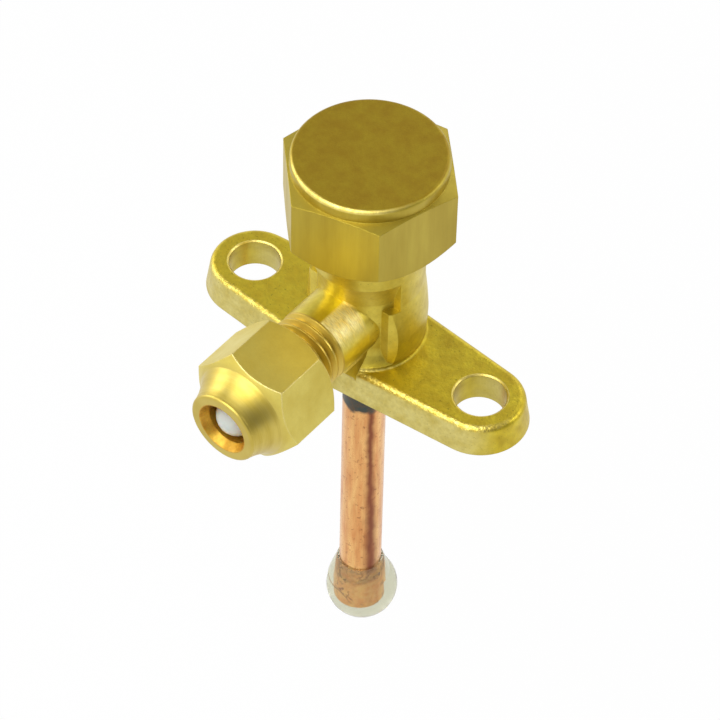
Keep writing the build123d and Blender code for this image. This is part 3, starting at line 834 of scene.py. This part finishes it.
@dataclass
class CopperStub:
    """The copper stub tube: drawn, scratched, with a dark streak, heat stain at the braze, and its end cap.

    Attributes:
        bevel_mm: radius of the tube's softened edges.
        mark_mm: spacing of the small brown marks.
        mark_span: noise at which a mark starts and is full.
        mark_depth: how far a mark hides the copper.
        streak_deg: the dark streak's direction from +X to +Y, at its top and at the end cap.
        streak_half_deg: half the streak's width, at its top and at the end cap.
        streak_waver: how far the streak wanders to either side, in radians.
        streak_waver_mm: length of one turn of that wandering.
        streak_depth: how far the streak hides the copper.
        streak_from_mm: height above which the streak keeps its top width.
        stain_end_mm: height at which the heat stain has faded out.
        stain_full_mm: height above which it covers the tube.
        stain_ragged_mm: how far the stain's edge runs up and down.
        stain_cloud_mm: width of one such run.
        crushed_from_mm: height below which the end cap's grip has marked the copper.
        crushed_fade_mm: height over which the marks set in.
        crushed_depth: how far they hide the tube's own finish.
        crease_mm: spacing of the creases.
        crease_half: half a crease's width, as noise either side of its middle.
        crease_depth: how far a crease hides the copper.
        gather_mm: spacing of the places where creases gather.
        gather_span: noise at which such a place starts and is full.
    """

    bevel_mm: float = 0.05
    mark_mm: float = 2 / 3
    mark_span: Pair = (0.6, 0.66)
    mark_depth: float = 0.6
    streak_deg: Pair = (-33.0, -20.0)
    streak_half_deg: Pair = (16.0, 34.0)
    streak_waver: float = 0.22
    streak_waver_mm: float = 2.0
    streak_depth: float = 0.95
    streak_from_mm: float = -22.0
    stain_end_mm: float = -10.7
    stain_full_mm: float = -9.9
    stain_ragged_mm: float = 1.5
    stain_cloud_mm: float = 20 / 9
    crushed_from_mm: float = -46.5
    crushed_fade_mm: float = 1.5
    crushed_depth: float = 0.8
    crease_mm: float = 20 / 9
    crease_half: float = 0.045
    crease_depth: float = 0.9
    gather_mm: float = 25 / 7
    gather_span: Pair = (0.5, 0.58)

    def marks(self, graph: MetalGraph) -> Socket:
        """Mask of the small brown marks all over the tube.

        Args:
            graph: the tube's graph.

        Returns:
            The mask.
        """
        specks = add_node(
            graph.tree, "TexNoise",
            {"Scale": 1 / self.mark_mm, "Detail": 3.0, "Roughness": 0.7, "Distortion": 0.6},
            {"Vector": graph.mm},
        ).outputs[0]
        return add_node(
            graph.tree, "MapRange",
            {"From Min": self.mark_span[0], "From Max": self.mark_span[1], "To Max": self.mark_depth},
            {"Value": specks},
        ).outputs[0]

    def streak(self, graph: MetalGraph) -> Socket:
        """Mask of the wavering dark streak, which turns and widens on its way down.

        Args:
            graph: the tube's graph.

        Returns:
            The mask.
        """
        tree = graph.tree
        axes = add_node(tree, "SeparateXYZ", {}, {0: graph.mm})
        angle = add_node(
            tree, "Math", {"operation": "ARCTAN2"}, {0: axes.outputs["Y"], 1: axes.outputs["X"]}
        ).outputs[0]
        way_down = {"From Min": self.streak_from_mm, "From Max": self.crushed_from_mm}
        top_side, low_side = (math.radians(side) + self.streak_waver / 2 for side in self.streak_deg)
        middle = add_node(
            tree, "MapRange", way_down | {"To Min": top_side, "To Max": low_side},
            {"Value": axes.outputs["Z"]},
        ).outputs[0]
        offset = add_node(tree, "Math", {"operation": "SUBTRACT"}, {0: angle, 1: middle}).outputs[0]
        waver = add_node(
            tree, "TexNoise", {"Scale": 1 / self.streak_waver_mm, "Detail": 2.0}, {"Vector": graph.mm}
        ).outputs[0]
        offset = add_node(
            tree, "Math", {"operation": "MULTIPLY_ADD", 1: self.streak_waver}, {0: waver, 2: offset}
        ).outputs[0]
        spread = add_node(tree, "Math", {"operation": "ABSOLUTE"}, {0: offset}).outputs[0]
        top_half, low_half = (math.radians(half) for half in self.streak_half_deg)
        half_width = add_node(
            tree, "MapRange", way_down | {"To Min": top_half, "To Max": low_half},
            {"Value": axes.outputs["Z"]},
        ).outputs[0]
        share = add_node(tree, "Math", {"operation": "DIVIDE"}, {0: spread, 1: half_width}).outputs[0]
        return add_node(
            tree, "MapRange",
            {"interpolation_type": "SMOOTHSTEP", "From Min": 1.0, "From Max": 0.0,
             "To Max": self.streak_depth},
            {"Value": share},
        ).outputs[0]

    def scorch(self, graph: MetalGraph) -> Socket:
        """Mask of the heat stain under the flange, with a ragged lower edge.

        Args:
            graph: the tube's graph.

        Returns:
            The mask.
        """
        tree = graph.tree
        up = add_node(tree, "SeparateXYZ", {}, {0: graph.mm}).outputs["Z"]
        cloud = add_node(
            tree, "TexNoise", {"Scale": 1 / self.stain_cloud_mm, "Detail": 3.0}, {"Vector": graph.mm}
        ).outputs[0]
        ragged = add_node(
            tree, "Math",
            {"operation": "MULTIPLY_ADD", 1: 2 * self.stain_ragged_mm, 2: -self.stain_ragged_mm},
            {0: cloud},
        ).outputs[0]
        height = add_node(tree, "Math", {"operation": "ADD"}, {0: up, 1: ragged}).outputs[0]
        return add_node(
            tree, "MapRange", {"From Min": self.stain_end_mm, "From Max": self.stain_full_mm},
            {"Value": height},
        ).outputs[0]

    def creases(self, graph: MetalGraph) -> Socket:
        """Mask of thin crease lines, gathered in a few places.

        Args:
            graph: the tube's graph.

        Returns:
            The mask.
        """
        tree = graph.tree
        wrinkle = add_node(
            tree, "TexNoise", {"Scale": 1 / self.crease_mm, "Detail": 4.0, "Distortion": 1.2},
            {"Vector": graph.mm},
        ).outputs[0]
        off_middle = add_node(tree, "Math", {"operation": "SUBTRACT", 1: 0.5}, {0: wrinkle}).outputs[0]
        off_line = add_node(tree, "Math", {"operation": "ABSOLUTE"}, {0: off_middle}).outputs[0]
        lines = add_node(
            tree, "MapRange", {"From Min": self.crease_half, "From Max": 0.0, "To Max": self.crease_depth},
            {"Value": off_line},
        ).outputs[0]
        gathers = add_node(
            tree, "TexNoise", {"Scale": 1 / self.gather_mm, "Detail": 1.0}, {"Vector": graph.mm}
        ).outputs[0]
        gathered = add_node(
            tree, "MapRange", {"From Min": self.gather_span[0], "From Max": self.gather_span[1]},
            {"Value": gathers},
        ).outputs[0]
        return graph.overlap(lines, gathered)

    def tube(self) -> Material:
        """Drawn copper, marked, streaked and stained, and creased at its end.

        Returns:
            The tube's material.
        """
        graph = MetalGraph("drawn_copper", self.bevel_mm)
        surface = graph.blend(graph.layer(DRAWN_COPPER), graph.layer(MARKED_COPPER), self.marks(graph))
        surface = graph.blend(surface, graph.layer(STREAKED_COPPER), self.streak(graph))
        surface = graph.blend(surface, graph.layer(SCORCHED_COPPER), self.scorch(graph))
        crushed = graph.band("Z", self.crushed_from_mm, self.crushed_from_mm - self.crushed_fade_mm)
        gripped = add_node(
            graph.tree, "Math", {"operation": "MULTIPLY", 1: self.crushed_depth}, {0: crushed}
        ).outputs[0]
        surface = graph.blend(surface, graph.layer(GRIPPED_COPPER), gripped)
        creased = graph.overlap(crushed, self.creases(graph))
        return graph.close(graph.blend(surface, graph.layer(CREASED_COPPER), creased))

    def build(self, nodes: Nodes) -> None:
        """Dress the tube, its braze and its end cap.

        Args:
            nodes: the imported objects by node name.
        """
        dress(nodes["connecting_tube"], self.tube())
        dress(nodes["braze_ring"], plain_metal("silver_braze_alloy", BRAZE_ALLOY))
        dress(nodes["tube_end_cap"], CAP_VINYL.material())


@dataclass(frozen=True)
class Lamp:
    """A soft square lamp that faces the object.

    Attributes:
        name: the lamp's name.
        place: where it stands.
        size: width of its square.
        power: its power in watts.
    """

    name: str
    place: Triple
    size: float
    power: float

    def build(self) -> None:
        """Make the lamp and turn it to the frame's origin."""
        data = bpy.data.lights.new(self.name, "AREA")
        data.size = self.size
        data.energy = self.power
        lamp = bpy.data.objects.new(self.name, data)
        lamp.location = self.place
        lamp.rotation_euler = (-Vector(self.place)).to_track_quat("-Z", "Y").to_euler()
        bpy.context.scene.collection.objects.link(lamp)


@dataclass
class Studio:
    """Pale floor, soft lamps and the surroundings that the metal mirrors.

    Attributes:
        floor_drop: how far the floor lies under the object.
        floor_half: half the floor's width.
        floor_white: share of plain white in what camera, glass and metal see of the floor; the rest keeps
            the shadow.
        paper: the floor's own lightness.
        horizon: brightness of the surroundings at eye level, as metal sees them.
        overhead: brightness straight up, as metal sees it.
        rise: height of a direction at which the brightness starts to fall and stops.
        dark_side: share of the brightness left towards +X.
        side_turn: lean to +X at which the dimming starts and is full.
        fill: brightness of the even light.
        lamps: the lamps.
    """

    floor_drop: float = 0.05
    floor_half: float = 3.0
    floor_white: float = 0.97
    paper: float = 0.86
    horizon: float = 1.0
    overhead: float = 0.46
    rise: Pair = (0.05, 0.75)
    dark_side: float = 0.2
    side_turn: Pair = (0.45, 0.95)
    fill: float = 0.3
    lamps: tuple[Lamp, ...] = (
        Lamp("key_lamp", (-0.05, -0.44, 0.64), 0.65, 4.8),
        Lamp("left_lamp", (-0.60, -0.12, 0.30), 0.4, 1.4),
        Lamp("back_lamp", (-0.10, 0.75, 0.55), 0.5, 1.0),
        Lamp("edge_lamp", (0.53, 0.42, 0.36), 0.3, 1.05),
    )

    def world(self) -> None:
        """Surroundings: white, and in the metal dimmer overhead and towards +X."""
        world = bpy.data.worlds.new("studio_world")
        world.use_nodes = True
        tree = world.node_tree
        tree.nodes.clear()
        direction = add_node(tree, "TexCoord").outputs["Generated"]
        axes = add_node(tree, "SeparateXYZ", {}, {0: direction})
        turns = (("Z", self.rise, self.horizon, self.overhead), ("X", self.side_turn, 1.0, self.dark_side))
        level, side = (
            add_node(
                tree, "MapRange",
                {"interpolation_type": "SMOOTHSTEP", "From Min": start, "From Max": full, "To Min": before,
                 "To Max": after},
                {"Value": axes.outputs[axis]},
            ).outputs[0]
            for axis, (start, full), before, after in turns
        )
        level = add_node(tree, "Math", {"operation": "MULTIPLY"}, {0: level, 1: side}).outputs[0]
        lit = add_node(
            tree, "Mix", {FIRST_VALUE: self.fill}, {SHARE: seen_by(tree, Ray.GLOSSY), SECOND_VALUE: level}
        ).outputs[0]
        straight = seen_by(tree, Ray.CAMERA, Ray.TRANSMISSION)
        strength = add_node(tree, "Mix", {SECOND_VALUE: 1.0}, {SHARE: straight, FIRST_VALUE: lit}).outputs[0]
        background = add_node(tree, "Background", {"Color": WHITE}, {"Strength": strength})
        add_node(tree, "OutputWorld", {}, {"Surface": background.outputs[0]})
        bpy.context.scene.world = world

    def floor(self, lowest: float) -> None:
        """Pale floor that reads as white paper and keeps a faint shadow.

        Args:
            lowest: the object's lowest point.
        """
        mesh = bpy.data.meshes.new("studio_floor")
        half = self.floor_half
        height = lowest - self.floor_drop
        square = [(-half, -half, height), (half, -half, height), (half, half, height), (-half, half, height)]
        mesh.from_pydata(square, [], [(0, 1, 2, 3)])
        floor = bpy.data.objects.new("studio_floor", mesh)
        bpy.context.scene.collection.objects.link(floor)
        material = bpy.data.materials.new("matt_white_paper")
        material.use_nodes = True
        tree = material.node_tree
        tree.nodes.clear()
        paper = add_node(tree, "BsdfDiffuse", {"Color": (self.paper, self.paper, self.paper, 1.0)})
        white = add_node(tree, "Emission", {"Color": WHITE})
        seen = seen_by(tree, Ray.CAMERA, Ray.TRANSMISSION, Ray.GLOSSY)
        share = add_node(tree, "Math", {"operation": "MULTIPLY", 1: self.floor_white}, {0: seen}).outputs[0]
        surface = add_node(tree, "MixShader", {}, {0: share, 1: paper.outputs[0], 2: white.outputs[0]})
        add_node(tree, "OutputMaterial", {}, {"Surface": surface.outputs[0]})
        mesh.materials.append(material)
        floor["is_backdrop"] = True

    def build(self, lowest: float) -> None:
        """Build surroundings, floor and lamps.

        Args:
            lowest: the object's lowest point.
        """
        self.world()
        self.floor(lowest)
        for lamp in self.lamps:
            lamp.build()


@dataclass
class CameraStand:
    """Long-lens camera that looks down on the valve from its port side.

    Attributes:
        azimuth_deg: turn round the object from its front.
        elevation_deg: height above the horizon.
        roll_deg: turn about the line of sight.
        distance: from the lens to the frame's origin, along the line of sight.
        side_step: how far the origin lies right of the picture's middle.
        lift: how far the origin lies above it.
        lens_mm: focal length.
        sensor_mm: width of the sensor.
        clip: nearest and farthest distance that shows.
    """

    azimuth_deg: float = 37.5
    elevation_deg: float = 48.07
    roll_deg: float = 1.38
    distance: float = 0.56208
    side_step: float = 0.000786
    lift: float = 0.001619
    lens_mm: float = 197.1
    sensor_mm: float = 36.0
    clip: Pair = (0.01, 20.0)

    def build(self) -> None:
        """Make the camera and set it as the scene's."""
        turn, tilt, roll = (math.radians(a) for a in (self.azimuth_deg, self.elevation_deg, self.roll_deg))
        back = Vector((math.sin(turn) * math.cos(tilt), -math.cos(turn) * math.cos(tilt), math.sin(tilt)))
        level_right = Vector((math.cos(turn), math.sin(turn), 0.0))
        level_up = back.cross(level_right)
        right = math.cos(roll) * level_right + math.sin(roll) * level_up
        up = math.cos(roll) * level_up - math.sin(roll) * level_right
        data = bpy.data.cameras.new("product_camera")
        data.lens = self.lens_mm
        data.sensor_width = self.sensor_mm
        data.clip_start, data.clip_end = self.clip
        camera = bpy.data.objects.new("product_camera", data)
        place = self.distance * back - self.side_step * right - self.lift * up
        axes = Matrix((right, up, back)).transposed().to_4x4()
        camera.matrix_world = Matrix.Translation(place) @ axes
        bpy.context.scene.collection.objects.link(camera)
        bpy.context.scene.camera = camera


def main() -> None:
    """Load the frame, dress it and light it."""
    logging.basicConfig(level=logging.INFO, format="%(message)s")
    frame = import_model()
    packed_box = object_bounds()
    bpy.context.scene.view_settings.view_transform = "Standard"
    CameraStand().build()
    for part in (ValveBody(), StemCap(), FlareConnection(), CopperStub()):
        part.build(frame["nodes"])
    Studio().build(packed_box[0].z)


if __name__ == "__main__":
    main()
